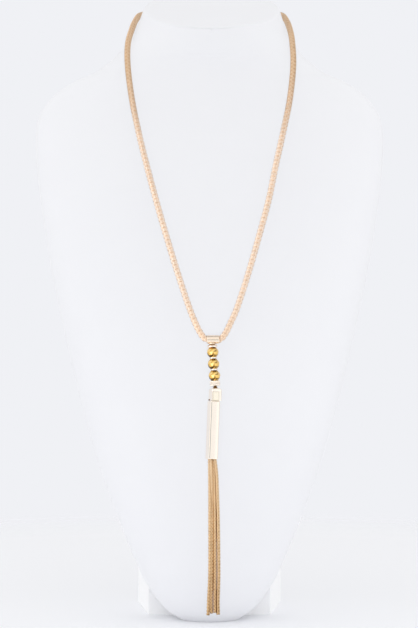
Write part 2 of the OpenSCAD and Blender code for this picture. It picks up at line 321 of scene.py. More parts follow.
def metal(name, tones, roughness, wear=0.05, bump=0.05, drift=0.05):
    """Plated metal. tones: (height in mm, colour) from low to high. The colour and the roughness
    drift over the surface, and a fine grain is in the bump."""
    mat, tree, shader = new_material(name)
    link = tree.links.new
    shader.inputs["Metallic"].default_value = 1.0
    place = node(tree, "ShaderNodeTexCoord").outputs["Object"]
    split = node(tree, "ShaderNodeSeparateXYZ")
    # Colour by height: on the chain, its core, the tassel and the bail this paints light and shade
    low, high = tones[0][0], tones[-1][0]
    height = node(tree, "ShaderNodeMapRange", From_Min=low * MM, From_Max=high * MM)
    link(place, split.inputs[0])
    link(split.outputs["Z"], height.inputs["Value"])
    stops = [((at - low) / (high - low), color) for at, color in tones]
    tone = color_ramp(tree, stops, height.outputs["Result"])
    cloud = noise(tree, place, *METAL_CLOUD)
    fine = noise(tree, place, *METAL_GRAIN)
    tones_by = node(
        tree, "ShaderNodeMapRange", From_Min=METAL_CLOUD_SPAN[0], From_Max=METAL_CLOUD_SPAN[1],
        To_Min=1 - drift, To_Max=1 + drift / 2,
    )
    tint = tree.nodes.new("ShaderNodeVectorMath")
    tint.operation = "SCALE"
    link(tone, tint.inputs[0])
    link(cloud, tones_by.inputs["Value"])
    link(tones_by.outputs["Result"], tint.inputs["Scale"])
    link(tint.outputs["Vector"], shader.inputs["Base Color"])
    set_roughness(tree, shader, fine, roughness - wear, roughness + wear)
    set_bump(tree, shader, fine, bump, METAL_GRAIN_HEIGHT)
    return mat


def polished(name, tones, roughness):
    """Metal with hardly any wear."""
    return metal(name, tones, roughness, wear=0.03, bump=0.01, drift=0.01)


# Painted shade and reflection on a bead's facet, by how far it faces up (from down to up) and
# sideways (left to right)
FACET_SHADE_UP = (
    (0.0, 0.95), (0.225, 0.88), (0.29, 0.72), (0.35, 0.48), (0.4, 0.2), (0.45, 0.05), (0.7, 0.0),
    (0.77, 0.15), (0.83, 0.42), (0.88, 0.75), (1.0, 0.85),
)
FACET_SHADE_SIDE = (
    (0.0, 0.25), (0.15, 0.1), (0.28, 0.0), (0.42, 0.0), (0.5, 0.24), (0.64, 0.3), (0.73, 0.05),
    (0.85, 0.02), (1.0, 0.25),
)
# Each facet's own share of darkness: scale and detail of its pattern, and the least and the most
FACET_PICK = (3.3, 0.0)
FACET_PICK_SPAN = (-0.1, 0.3)
FACET_GRAIN = (2500.0, 3.0)
FACET_WEAR = 0.02
FACET_BUMP = 0.01


def facet_gold(name, tones, roughness):
    """Mirror-bright gold of the cut beads: each facet has its own tone, and painted shade and
    reflection by the way a facet faces make the ones that face up or down the dark ones.
    tones: (darkness, colour)."""
    mat, tree, shader = new_material(name)
    link = tree.links.new
    shader.inputs["Metallic"].default_value = 1.0
    place = node(tree, "ShaderNodeTexCoord")
    facing = node(tree, "ShaderNodeSeparateXYZ")
    link(place.outputs["Normal"], facing.inputs[0])
    by_up = ramp(tree, FACET_SHADE_UP, half_up(tree, facing.outputs["Z"]))
    by_side = ramp(tree, FACET_SHADE_SIDE, half_up(tree, facing.outputs["X"]))
    pick = node(tree, "ShaderNodeMapRange", To_Min=FACET_PICK_SPAN[0], To_Max=FACET_PICK_SPAN[1])
    link(noise(tree, place.outputs["Normal"], *FACET_PICK), pick.inputs["Value"])
    darkness = total(tree, pick.outputs["Result"], total(tree, by_up, by_side))
    link(color_ramp(tree, tones, darkness), shader.inputs["Base Color"])
    fine = noise(tree, place.outputs["Object"], *FACET_GRAIN)
    set_roughness(tree, shader, fine, roughness - FACET_WEAR, roughness + FACET_WEAR)
    set_bump(tree, shader, fine, FACET_BUMP, METAL_GRAIN_HEIGHT)
    return mat


# Stones: cloud by scale and detail, and bump by strength and height in metres
STONE_IOR, STONE_COAT = 1.9, 0.3
STONE_CLOUD = (900.0, 2.0)
STONE_TONES = ((0.80, 0.64, 0.51), (0.99, 0.90, 0.79))
STONE_ROUGHNESS = (0.03, 0.09)
STONE_BUMP = (0.03, 0.00002)


def stone():
    """Small champagne stones: glossy milky facets with a faint cloud in them."""
    mat, tree, shader = new_material("champagne_stone")
    shader.inputs["IOR"].default_value = STONE_IOR
    shader.inputs["Coat Weight"].default_value = STONE_COAT
    place = node(tree, "ShaderNodeTexCoord")
    cloud = noise(tree, place.outputs["Object"], *STONE_CLOUD)
    set_two_tones(tree, shader, cloud, *STONE_TONES)
    set_roughness(tree, shader, cloud, *STONE_ROUGHNESS)
    set_bump(tree, shader, cloud, *STONE_BUMP)
    return mat


# Covering: cloud and crease by scale and detail, and bump by strength and height in metres
COVER_SHEEN, COVER_SHEEN_ROUGHNESS, COVER_SPECULAR = 0.12, 0.4, 0.35
COVER_CLOUD = (28.0, 4.0)
COVER_PEBBLE = 900.0
COVER_CREASE = (260.0, 5.0)
COVER_ROUGHNESS = (0.48, 0.62)
COVER_BUMP = (0.18, 0.0001)


def leatherette(name, darker, lighter):
    """White covering of the bust: fine pebbled grain, faint mottling and a soft sheen."""
    mat, tree, shader = new_material(name)
    shader.inputs["Sheen Weight"].default_value = COVER_SHEEN
    shader.inputs["Sheen Roughness"].default_value = COVER_SHEEN_ROUGHNESS
    shader.inputs["Specular IOR Level"].default_value = COVER_SPECULAR
    place = node(tree, "ShaderNodeTexCoord").outputs["Object"]
    cloud = noise(tree, place, *COVER_CLOUD)
    pebble = node(tree, "ShaderNodeTexVoronoi", Scale=COVER_PEBBLE)
    tree.links.new(place, pebble.inputs["Vector"])
    grain = total(tree, pebble.outputs["Distance"], noise(tree, place, *COVER_CREASE))
    set_two_tones(tree, shader, cloud, darker, lighter)
    set_roughness(tree, shader, cloud, *COVER_ROUGHNESS)
    set_bump(tree, shader, grain, *COVER_BUMP)
    return mat


# Curves and meshes
def smooth(rows, t):
    """Value between the rows of a table, on the same smooth curve as the part's own."""
    last = len(rows) - 1
    i = max(0, min(int(t), last - 1))
    f = t - i
    a = rows[max(i - 1, 0)]
    b = rows[i]
    c = rows[i + 1]
    d = rows[min(i + 2, last)]
    return b + 0.5 * f * (c - a + f * (2 * a - 5 * b + 4 * c - d + f * (3 * (b - c) + d - a)))


def curve(rows, step):
    """Points of a smooth curve through the rows, a step of a row apart."""
    return np.array([smooth(rows, t) for t in np.arange(0, len(rows) - 1 + TINY, step)])


def fade(value, start, end):
    """0 at start, 1 at end, smooth between them."""
    f = min(max((value - start) / (end - start), 0), 1)
    return f * f * (3 - 2 * f)


def angles(count):
    """Even turns of a full circle."""
    return 2 * np.pi * np.arange(count) / count


def face_outward(mesh):
    """Turns every face of a closed mesh to the outside."""
    shape = bmesh.new()
    shape.from_mesh(mesh)
    bmesh.ops.recalc_face_normals(shape, faces=shape.faces)
    shape.to_mesh(mesh)
    shape.free()


def new_piece(name, points, faces, mat, slot, *nodes, flat=False, shades=False):
    """Mesh from points in millimetres, riding on the part's body and standing for its nodes.
    Only a piece that shades takes the room's light away from what is near it."""
    mesh = bpy.data.meshes.new(name)
    mesh.from_pydata((np.asarray(points) * MM).tolist(), [], faces)
    mesh.validate()
    face_outward(mesh)
    if not flat:
        mesh.shade_smooth()
    mesh.materials.append(mat)
    piece = bpy.data.objects.new(name, mesh)
    bpy.context.scene.collection.objects.link(piece)
    piece.visible_diffuse = shades
    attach(piece, "root")
    if nodes:
        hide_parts(*nodes)


def grid_faces(rings, sides):
    """Quads between rings of points, each closed on itself."""
    faces = []
    for r in range(rings - 1):
        here, above = r * sides, (r + 1) * sides
        for i in range(sides):
            j = (i + 1) % sides
            faces.append((here + i, here + j, above + j, above + i))
    return faces


def capped_faces(rings, sides):
    """Quads between rings of points, and a flat end on the first and the last ring."""
    last = (rings - 1) * sides
    ends = [tuple(range(sides))[::-1], tuple(last + i for i in range(sides))]
    return grid_faces(rings, sides) + ends


def joined(parts):
    """One mesh of several: parts of (points, faces)."""
    points, faces = [], []
    count = 0
    for part_points, part_faces in parts:
        points.append(part_points)
        faces += [tuple(v + count for v in face) for face in part_faces]
        count += len(part_points)
    return np.vstack(points), faces


# Neck bust: level, half width, depth of the widest line, of the front and of the back,
# fullness of the front and of the back, and slope of the level, as in the part's table
BUST = np.array([
    (0, 20, -24, -38, -10, 2, 3, 0),
    (6, 30, -22, -44, -7.5, 2, 3.5, 0),
    (14, 37.5, -20, -49, -6.5, 2.1, 4, 0),
    (28, 47, -18, -54, -6, 2.2, 4.5, 0),
    (42, 53.5, -16, -56.5, -6, 2.3, 5, 0),
    (70, 65.5, -12, -58.5, -3, 2.4, 5, 0),
    (112, 81, -6, -58.5, 6, 2.5, 5, 0),
    (155, 93.5, 0, -56, 17, 2.6, 5, 0),
    (199, 104.5, 4, -51.5, 28, 2.6, 5, 0),
    (250, 115.5, 6, -45, 38, 2.5, 5, 0),
    (300, 123.5, 8, -37.5, 45, 2.3, 5, 0),
    (335, 127, 10, -29.5, 49, 2, 4.5, 0),
    (358, 126, 11.5, -23.5, 51.5, 1.75, 4, 0),
    (372, 119, 13, -20, 53.5, 1.55, 3.5, 0),
    (382, 109, 14, -18, 55, 1.4, 3, 0),
    (389, 98, 15.5, -17, 57, 1.35, 2.6, 0),
    (395, 84.5, 17, -16.5, 59, 1.4, 2.3, 0),
    (403, 74, 18, -17, 61.5, 1.6, 2.1, 0.06),
    (413, 64.5, 19, -19, 63.5, 1.8, 2, 0.2),
    (427, 55.8, 20.5, -21.5, 65.5, 1.95, 2, 0.34),
    (443.5, 49.8, 21.5, -23, 65.5, 2, 2, 0.48),
])
BUST_SIDES = 256
BUST_STEPS = 12
# The neck stands a little to the right of the chest's middle
NECK_SHIFT, NECK_SHIFT_OVER = 1.7, (400, 450)
# Rounded edge of the cut neck and of the standing face: distance in from the edge, and height
NECK_RIM = (
    (0.0, -3.4), (0.0, -3.0), (0.0, -2.7), (0.02, -2.4), (0.08, -2.1), (0.2, -1.7), (0.5, -1.15),
    (0.95, -0.65), (1.6, -0.28), (2.5, -0.06), (3.5, 0.0), (6.0, 0.0), (14.0, 0.0), (26.0, 0.0),
    (38.0, 0.0),
)
FOOT_RIM = ((0.0, 0.5), (0.2, 0.15), (0.8, 0.02), (3.0, 0.0), (8.0, 0.0))
# Rings of the form that the two rims take the place of, below and above
FOOT_RIM_TAKES, NECK_RIM_TAKES = 2, 3
# Seam under the front edge of the neck, by ring of the rim, and the covering's small pucker on it
SEAM_RINGS = {4: 0.1, 5: 0.55, 6: 0.15}
SEAM_FROM, SEAM_TO, SEAM_FADE = -26, 27, 15
PUCKER = {"x": 1.4, "above": 0.9, "wide": 1.2, "high": 3.0, "deep": 1.1}


def bust_ring(row):
    level, half, edge, front, back, front_full, back_full, slope = row
    angle = angles(BUST_SIDES)
    c, s = np.cos(angle), np.sin(angle)
    full = np.where(s >= -TINY, front_full, back_full)
    x = half * np.sign(c) * np.abs(c) ** (2 / full) + NECK_SHIFT * fade(level, *NECK_SHIFT_OVER)
    y = edge + np.where(s >= 0, front - edge, back - edge) * np.abs(s)
    return np.stack([x, y, level + slope * (y - edge)], axis=1)


def rim_rings(end, beside, profile):
    """Rings that carry a cut end of the bust over its rounded edge and in towards its middle: each
    starts from the form's own ring at that height from the end. beside is the row next to the end."""
    span = abs(BUST[end][0] - BUST[beside][0])
    rings = []
    for inset, height in profile:
        ring = bust_ring(smooth(BUST, end + height / span))
        inward = ring.mean(axis=0) - ring
        inward /= np.linalg.norm(inward, axis=1, keepdims=True)
        rings.append(ring + inward * inset)
    return rings


def press_seam(rings):
    """Sinks the seam into the rings under the neck's edge."""
    for i, depth in SEAM_RINGS.items():
        for point in rings[i]:
            if point[1] < 0:
                from_left = fade(point[0], SEAM_FROM, SEAM_FROM + SEAM_FADE)
                from_right = fade(point[0], SEAM_TO, SEAM_TO - SEAM_FADE)
                point[1] += depth * min(from_left, from_right)


def press_pucker(points, rim_z):
    """Sinks the small pucker of the covering by the seam."""
    x = (points[:, 0] - PUCKER["x"]) / PUCKER["wide"]
    z = (points[:, 2] - rim_z - PUCKER["above"]) / PUCKER["high"]
    near = np.where(points[:, 1] < 0, np.exp(-x * x - z * z), 0)
    points[:, 1] += PUCKER["deep"] * near


def make_bust(mat):
    last = len(BUST) - 1
    stations = np.arange(0, last * BUST_STEPS + 1) / BUST_STEPS
    rings = [bust_ring(smooth(BUST, t)) for t in stations]
    low = rim_rings(0, 1, FOOT_RIM)
    high = rim_rings(last, last - 1, NECK_RIM)
    press_seam(high)
    rim_z = high[0][:, 2].min()
    rings = low[::-1] + rings[FOOT_RIM_TAKES:-NECK_RIM_TAKES] + high
    points = np.vstack(rings)
    press_pucker(points, rim_z)
    faces = capped_faces(len(rings), BUST_SIDES)
    new_piece("bust_cover", points, faces, mat, "bust_cover", "neck_bust", shades=True)


# Chain: its route as in the part, from one end at the nape, down to the bail and back up
ROUTE = np.array([
    (-8, 69, 450), (-11.5, 69, 450), (-21, 65.5, 449.5), (-36, 57, 447), (-48.7, 43.5, 442.6),
    (-53.6, 30, 437.7), (-57.3, 14.5, 426), (-59.5, 2.5, 413.5), (-59, -7.5, 396), (-55.5, -18, 371),
    (-50.5, -26, 347), (-44.5, -33, 323), (-38, -39, 299), (-30.5, -44, 273), (-22.5, -48, 247),
    (-14.5, -51.5, 223), (-9.5, -53.5, 210.5), (-6.3, -54.6, 204.3), (-3.8, -55.4, 201.1),
    (-1.3, -55.9, 199.8), (2.5, -55.9, 199.7), (6.3, -55.9, 199.8), (8.8, -55.4, 201.1),
    (11.3, -54.6, 204.5), (14.5, -53.5, 211), (19.5, -51.5, 222.5), (27.5, -48, 247),
    (35, -44, 273), (42, -39, 299), (47, -33, 323), (52.5, -26, 347), (57.5, -18, 371),
    (60.5, -7.5, 396), (60.5, 3, 413.5), (59.3, 14.5, 426), (56.1, 30.1, 437.4), (51, 43.5, 442.6),
    (37.8, 57.6, 447), (21.5, 66, 449.5), (11.5, 69, 450), (8, 69, 450),
])
NECK_AXIS_Y = 15
# A link: radius over its wires, radius of a wire, how far its saddle rises and dips, and the length
# of chain that it and the link turned across it take up
CHAIN_LINK = {"radius": 2.32, "wire": 0.46, "rise": 2.6, "pitch": 3.1}
# Its depth to its width, the steps round its rings and their wire, and half the distance of its two
# rings in wire radii
LINK_DEPTH = 0.86
RING_STEPS = 18
WIRE_SIDES = 5
WIRES_APART = 1.02
# Turn to each side of a ring's point that the ring's direction is taken over
TURN_STEP = 0.01
# Plain core inside the links, in a darker gold that is painted shade between them,
# and the steps of a row that it and the links' route are drawn with
CORE_RADIUS = 1.82
CORE_SIDES = 12
CORE_STEP = 0.25
FINE_STEP = 0.02
# Length of the route to each side that a link's direction is taken over
REACH = 0.8
# Turn of the weave on the chest and beside the neck, and the levels that it changes over
ROLL_CHEST, ROLL_NECK, ROLL_OVER = 4, 52, (340, 385)
# Depths over which the side that faces out turns from the viewer to away from the neck
WRAP_OVER = (5, 45)
TOWARDS_VIEWER = np.array([0, -1, 0])

# Tassel: level, then the middle of each strand, across and back
STRANDS = (
    (123.0, (0.0, -62.2), (0.85, -64.1), (2.3, -62.9), (3.2, -63.7)),
    (117.5, (0.0, -62.3), (0.95, -64.4), (2.6, -63.3), (3.7, -64.1)),
    (106.0, (0.15, -62.2), (1.4, -64.0), (3.1, -63.2), (4.95, -63.5)),
    (89.0, (0.25, -62.4), (1.85, -61.6), (3.6, -61.9), (5.55, -62.3)),
    (77.0, (0.25, -61.9), (1.75, -61.2), (3.7, -61.4), (5.95, -61.7)),
    (40.0, (0.25, -61.1), (1.6, -60.5), (3.85, -60.8), (6.4, -61.0)),
    (19.0, (-0.6, -60.8), (1.15, -60.5), (3.7, -60.7), (5.95, -60.8)),
    (10.5, (-0.95, -60.7), (1.35, -60.5), (3.85, -60.7), (6.1, -60.7)),
)
# Level of each strand's lower end, and turn of its weave
STRAND_ENDS = (8.6, 9.8, 10.6, 9.2)
STRAND_TURNS = (10, 35, 60, 20)
STRAND_LINK = {"radius": 1.3, "wire": 0.31, "rise": 1.1, "pitch": 2.3}
STRAND_CORE = 0.95


def link_ring(radius, wire, rise, offset):
    """One wire ring of a foxtail link: a saddle whose ends stand up and whose sides dip."""
    a = angles(RING_STEPS)
    reach = radius - wire

    def at(angle):
        return np.stack([
            reach * np.cos(angle),
            reach * LINK_DEPTH * np.sin(angle),
            rise / 2 * np.cos(2 * angle) + offset,
        ], axis=1)

    middle = at(a)
    along = at(a + TURN_STEP) - at(a - TURN_STEP)
    along /= np.linalg.norm(along, axis=1, keepdims=True)
    out = middle * (1, 1, 0)
    out -= along * np.sum(out * along, axis=1, keepdims=True)
    out /= np.linalg.norm(out, axis=1, keepdims=True)
    side = np.cross(along, out)
    b = angles(WIRE_SIDES)[None, :, None]
    surface = middle[:, None] + wire * np.cos(b) * out[:, None] + wire * np.sin(b) * side[:, None]
    return surface.reshape(-1, 3)


def ring_faces():
    """Faces of a closed wire ring."""
    faces = []
    for r in range(RING_STEPS):
        here, ahead = r * WIRE_SIDES, (r + 1) % RING_STEPS * WIRE_SIDES
        for i in range(WIRE_SIDES):
            j = (i + 1) % WIRE_SIDES
            faces.append((here + i, ahead + i, ahead + j, here + j))
    return faces


def foxtail(route, link, roll, outward):
    """A chain of double-wire links along a route in millimetres. roll gives the turn of the weave
    at a point, and outward the side of the chain that faces out there."""
    fine = curve(route, FINE_STEP)
    run = np.concatenate([[0], np.cumsum(np.linalg.norm(np.diff(fine, axis=0), axis=1))])
    length = run[-1]
    offset = link["wire"] * WIRES_APART
    pair = [link_ring(link["radius"], link["wire"], link["rise"], side * offset) for side in (-1, 1)]
    faces = ring_faces()
    rings = []

    def at(s):
        return np.array([np.interp(s, run, fine[:, c]) for c in range(3)])

    places = np.arange(link["pitch"] / 4, length - link["pitch"] / 8, link["pitch"] / 2)
    for k, s in enumerate(places):
        here = at(s)
        along = at(min(s + REACH, length)) - at(max(s - REACH, 0))
        along /= np.linalg.norm(along)
        side = np.cross(along, outward(here))
        side /= np.linalg.norm(side)
        out = np.cross(side, along)
        turn = math.radians(roll(here) + (90 if k % 2 else 0))
        u = math.cos(turn) * side + math.sin(turn) * out
        v = -math.sin(turn) * side + math.cos(turn) * out
        rings += [(ring @ np.stack([u, v, along]) + here, faces) for ring in pair]
    return joined(rings)


def chain_roll(here):
    """Turn of the weave about the chain at a point of it: nearly square to the viewer in front of
    the chest, on its corner beside the neck, and each way round on its own side."""
    turn = ROLL_CHEST + (ROLL_NECK - ROLL_CHEST) * fade(here[2], *ROLL_OVER)
    return turn if here[0] < 0 else -turn


def chain_outward(here):
    """Side of the chain that faces out: to the viewer in front, away from the neck behind."""
    away = np.array([here[0], here[1] - NECK_AXIS_Y, 0])
    away /= np.linalg.norm(away)
    f = fade(here[1], *WRAP_OVER)
    return (1 - f) * TOWARDS_VIEWER + f * away


def tube(route, radius, outward):
    """Closed tube of one thickness along a route in millimetres."""
    line = curve(route, CORE_STEP)
    angle = angles(CORE_SIDES)[:, None]
    rings = []
    for i, here in enumerate(line):
        along = line[min(i + 1, len(line) - 1)] - line[max(i - 1, 0)]
        side = np.cross(along, outward(here))
        side /= np.linalg.norm(side)
        out = np.cross(side, along)
        out /= np.linalg.norm(out)
        rings.append(here + radius * (np.cos(angle) * side + np.sin(angle) * out))
    return np.vstack(rings), capped_faces(len(rings), CORE_SIDES)


def make_chain(mat, core_shade_mat):
    points, faces = tube(ROUTE, CORE_RADIUS, chain_outward)
    new_piece("chain_core", points, faces, core_shade_mat, "chain_gold")
    half = len(ROUTE) // 2
    sides = (ROUTE[:half + 1], ROUTE[half:][::-1])
    points, faces = joined([foxtail(route, CHAIN_LINK, chain_roll, chain_outward) for route in sides])
    new_piece("chain_links", points, faces, mat, "chain_gold", "chain")


def make_tassel(mat, core_shade_mat):
    strands, cores = [], []
    for n, (end, turn) in enumerate(zip(STRAND_ENDS, STRAND_TURNS)):
        route = np.array([(*row[1 + n], row[0]) for row in STRANDS], float)
        route[-1][2] = end
        strands.append(foxtail(route, STRAND_LINK, lambda here: turn, lambda here: TOWARDS_VIEWER))
        cores.append(tube(route, STRAND_CORE, lambda here: TOWARDS_VIEWER))
    new_piece("tassel_cores", *joined(cores), core_shade_mat, "chain_gold")
    new_piece("tassel_strands", *joined(strands), mat, "chain_gold", "tassel")


# Drop: where its rows hang from, and how they lean to the side and back, as in the part
DROP_TURN = 21
STRING = ((1.6, -55.9, 199.9), (4.1, 6.9))
CAP = ((4.04, -60.03, 165.84), (-1, 3.6))
BAR = ((3.04, -60.58, 157.1), (-2.2, 3.6))
# Radius of the hole in what is strung on the pin
HOLE_R = 0.62


def hung(points, row):
    """Points of a row of the drop, which hangs down from its start and lies back on the chest."""
    start, lean = row
    across, back = math.radians(-lean[0]), math.radians(-lean[1])
    turn = math.radians(DROP_TURN)
    about_z = np.array([
        [math.cos(turn), -math.sin(turn), 0], [math.sin(turn), math.cos(turn), 0], [0, 0, 1],
    ])
    about_x = np.array([
        [1, 0, 0], [0, math.cos(back), -math.sin(back)], [0, math.sin(back), math.cos(back)],
    ])
    about_y = np.array([
        [math.cos(across), 0, math.sin(across)], [0, 1, 0], [-math.sin(across), 0, math.cos(across)],
    ])
    return np.asarray(points) @ (about_y @ about_x @ about_z).T + np.array(start)


TURNED_SIDES = 96
LOBE_DEPTH, LOBE_SHARP = 0.35, 1.5


def turned(profile, sides=TURNED_SIDES, lobes=0, lobe_from=0.0):
    """Closed surface turned about the row's axis, from (distance down, radius) pairs. Lobes scallop
    every radius over lobe_from."""
    angle = angles(sides)
    rings = []
    for down, radius in profile:
        r = np.full(sides, float(radius))
        if lobes and radius > lobe_from:
            r -= LOBE_DEPTH * (1 - np.abs(np.cos(lobes * angle / 2))) ** LOBE_SHARP
        rings.append(np.stack([r * np.cos(angle), r * np.sin(angle), np.full(sides, -down)], axis=1))
    return np.vstack(rings), capped_faces(len(rings), sides)


def about_x(profile, sides):
    """Rings turned about the X axis, from (place along, radius) pairs."""
    angle = angles(sides)
    return [np.stack([np.full(sides, x), r * np.cos(angle), r * np.sin(angle)], axis=1) for x, r in profile]


# Bail: a tube over the chain, whose edges are softened by (distance from its end, from its radius)
BAIL_AT = (2.5, -55.9, 199.9)
BAIL_LENGTH, BAIL_R, BAIL_BORE_R, BAIL_SIDES = 8.6, 3.0, 2.6, 64
BAIL_EDGE = ((0.0, 0.2), (0.08, 0.06), (0.25, 0.0), (0.5, 0.0))
BORE_EDGE = (0.08, 0.05)
# Its seat, where the string hangs: (distance down, radius)
SADDLE = ((2.3, 0.4), (2.3, 1.6), (2.9, 2.0), (3.15, 2.2), (3.28, 2.2), (3.28, 0.4))
SEAT_NECK = ((3.28, 0.4), (3.28, 2.05), (3.5, 2.1), (3.9, 2.3), (3.98, 2.3), (3.98, 0.4))
SEAT_FLARE = ((3.9, 0.6), (3.9, 2.4), (3.98, 2.9), (4.1, 3.25), (4.25, 3.3), (4.34, 3.2), (4.34, 0.6))


def make_bail(mat, seat_shade_mat, flare_shade_mat):
    """Tube over the chain with a flared seat under it."""
    half = BAIL_LENGTH / 2
    bore_in, bore_out = half - BORE_EDGE[0], BAIL_BORE_R + BORE_EDGE[1]
    outline = [(-half, bore_out)]
    outline += [(-half + along, BAIL_R - inset) for along, inset in BAIL_EDGE]
    outline += [(half - along, BAIL_R - inset) for along, inset in reversed(BAIL_EDGE)]
    outline += [(half, bore_out), (bore_in, BAIL_BORE_R), (-bore_in, BAIL_BORE_R)]
    rings = about_x(outline, BAIL_SIDES)
    rings.append(rings[0])
    points = np.vstack(rings[:-1]) + np.array(BAIL_AT)
    count = len(points)
    faces = [tuple(v % count for v in face) for face in grid_faces(len(rings), BAIL_SIDES)]
    new_piece("bail_tube", points, faces, mat, "pale_gold", "bail")
    # The seat's near-black neck is painted shadow under the tube, and its darker tan flare is painted shade
    seat = (
        ("bail_saddle", SADDLE, mat),
        ("bail_seat", SEAT_NECK, seat_shade_mat),
        ("seat_flare", SEAT_FLARE, flare_shade_mat),
    )
    for name, profile, finish in seat:
        points, faces = turned(profile)
        new_piece(name, hung(points, STRING), faces, finish, "pale_gold")


TOP_SPACER = (
    (4.4, HOLE_R), (4.4, 3.0), (4.45, 3.35), (4.62, 3.62), (4.9, 3.75), (5.25, 3.75), (5.55, 3.6),
    (5.7, 3.3), (5.72, 2.95), (5.42, 2.6), (5.42, HOLE_R),
)


def make_top_spacer(mat):
    """The wide disc under the bail."""
    points, faces = turned(TOP_SPACER)
    new_piece("top_spacer", hung(points, STRING), faces, mat, "pale_gold", "spacer_1")


# Rondelle: how far down its middle is, its height and radius, and its waist's distance from the radius
RONDELLE_AT, RONDELLE_HIGH, RONDELLE_R, WAIST_IN = 30.75, 3.7, 3.75, 0.65
RONDELLE_SIDES = 182
# Its rims are wavy from this far over the waist
LOBES_OVER = 0.1
# A rim, by distance from the rondelle's face and in from its radius
RIM = ((0.0, 0.9), (0.1, 0.45), (0.3, 0.12), (0.6, 0.0), (0.9, 0.14), (1.1, 0.4))
# A stone: its rings by share of its radius, distance out from the waist, and turn in steps
STONES, STONE_R, STONE_SIDES = 13, 0.7, 8
STONE_RINGS = ((1, -0.13, 0), (1, 0.22, 0), (0.55, 0.48, 0.5))


def stone_mesh(facing, waist):
    """One cut stone that looks out of the rondelle's waist."""
    out = np.array([math.cos(facing), math.sin(facing), 0])
    across = np.array([-math.sin(facing), math.cos(facing), 0])
    down = np.array([0, 0, -RONDELLE_AT])
    points = []
    for share, proud, shift in STONE_RINGS:
        for i in range(STONE_SIDES):
            a = 2 * math.pi * (i + shift) / STONE_SIDES
            round_it = math.cos(a) * across + math.sin(a) * np.array([0, 0, 1])
            points.append(out * (waist + proud) + share * STONE_R * round_it + down)
    return points, capped_faces(len(STONE_RINGS), STONE_SIDES)


def make_rondelle(mat, stone_mat):
    """Two wavy rims with a row of small cut stones between them."""
    top, bottom = RONDELLE_AT - RONDELLE_HIGH / 2, RONDELLE_AT + RONDELLE_HIGH / 2
    waist = RONDELLE_R - WAIST_IN
    rim_high = RIM[-1][0]
    profile = [(top, HOLE_R)]
    profile += [(top + down, RONDELLE_R - inset) for down, inset in RIM]
    profile += [(top + rim_high, waist), (bottom - rim_high, waist)]
    profile += [(bottom - up, RONDELLE_R - inset) for up, inset in reversed(RIM)]
    profile += [(bottom, HOLE_R)]
    points, faces = turned(profile, RONDELLE_SIDES, STONES, waist + LOBES_OVER)
    new_piece("rondelle_rims", hung(points, STRING), faces, mat, "pale_gold", "rondelle")
    points, faces = joined([stone_mesh(2 * math.pi * (n + 0.5) / STONES, waist) for n in range(STONES)])
    new_piece("rondelle_stones", hung(points, STRING), faces, stone_mat, "pale_gold", flat=True)


CORNER_STEPS, FACE_STEPS = 6, 4


def square_ring(half, corner, bulge, down):
    """Outline of a square bar with rounded edges and faintly convex faces."""
    quarter = []
    for i in range(CORNER_STEPS + 1):
        a = math.pi / 2 * i / CORNER_STEPS
        quarter.append((half - corner + corner * math.cos(a), half - corner + corner * math.sin(a)))
    for i in range(1, FACE_STEPS):
        x = (half - corner) * (1 - 2 * i / FACE_STEPS)
        quarter.append((x, half + bulge * (1 - (x / (half - corner)) ** 2)))
    points = []
    for q in range(4):
        c, s = math.cos(q * math.pi / 2), math.sin(q * math.pi / 2)
        points += [(x * c - y * s, x * s + y * c, -down) for x, y in quarter]
    return points


# Bar: its ends by distance from the end and in from the face, and its hollow
BAR_HALF, BAR_CORNER, BAR_BULGE, BAR_LONG = 3.65, 1.2, 0.12, 40.0
BAR_TOP = ((0.0, 0.25), (0.06, 0.08), (0.2, 0.0), (0.5, 0.0))
BAR_END = ((0.5, 0.0), (0.2, 0.0), (0.06, 0.08), (0.0, 0.2))
HOLLOW_HALF, HOLLOW_CORNER, HOLLOW_BULGE, HOLLOW_FROM = 3.05, 0.75, 0.02, 3.0


def make_bar(mat):
    """Hollow square bar, open at its lower end."""
    outer = [*BAR_TOP, (BAR_LONG / 2, 0.0)]
    outer += [(BAR_LONG - up, inset) for up, inset in BAR_END]
    rings = [square_ring(BAR_HALF - inset, BAR_CORNER, BAR_BULGE, down) for down, inset in outer]
    rings += [
        square_ring(HOLLOW_HALF, HOLLOW_CORNER, HOLLOW_BULGE, down) for down in (BAR_LONG, HOLLOW_FROM)
    ]
    faces = capped_faces(len(rings), len(rings[0]))
    new_piece("bar_shell", hung(np.vstack(rings), BAR), faces, mat, "pale_gold", "bar")


# Cap: half width, rounding of its edges, bulge of its faces, level of its top, and length
CAP_HALF, CAP_CORNER, CAP_BULGE, CAP_TOP, CAP_LONG = 3.65, 0.9, 0.06, -0.45, 8.85
MOUTH_HALF, MOUTH_CORNER, MOUTH_LEVELS = 1.75, 0.8, (3.0, -0.1)
# Its round shoulder and its lower end, by distance down and in from the face
SHOULDER = ((0.0, 2.1), (0.1, 1.45), (0.35, 0.85), (0.75, 0.4), (1.3, 0.12), (2.0, 0.0), (2.4, 0.0))
# Rounding of the shoulder's edges, as a share of its distance in
SHOULDER_CORNER = 0.9
CAP_END = ((-0.6, 0.0), (-0.25, 0.0), (-0.1, 0.03), (0.0, 0.15))
# Panel and the groove round it: built up through (height over the face, inset). The groove is a
# darker plate just proud of the face, whose colour is painted shade in the groove
PANEL_HALF, PANEL_FROM, PANEL_TO, PANEL_SHIFT = 2.1, 2.5, 8.1, -0.9
PANEL_STEPS = ((-0.4, 0.0), (0.16, 0.0), (0.22, 0.05), (0.25, 0.14))
GROOVE_WIDE, GROOVE_STEPS = 0.36, ((-0.4, 0.0), (0.07, 0.0), (0.075, 0.05))
PLUG_HALF, PLUG_CORNER, PLUG_LEVELS = 2.3, 0.4, (7.5, 8.95)
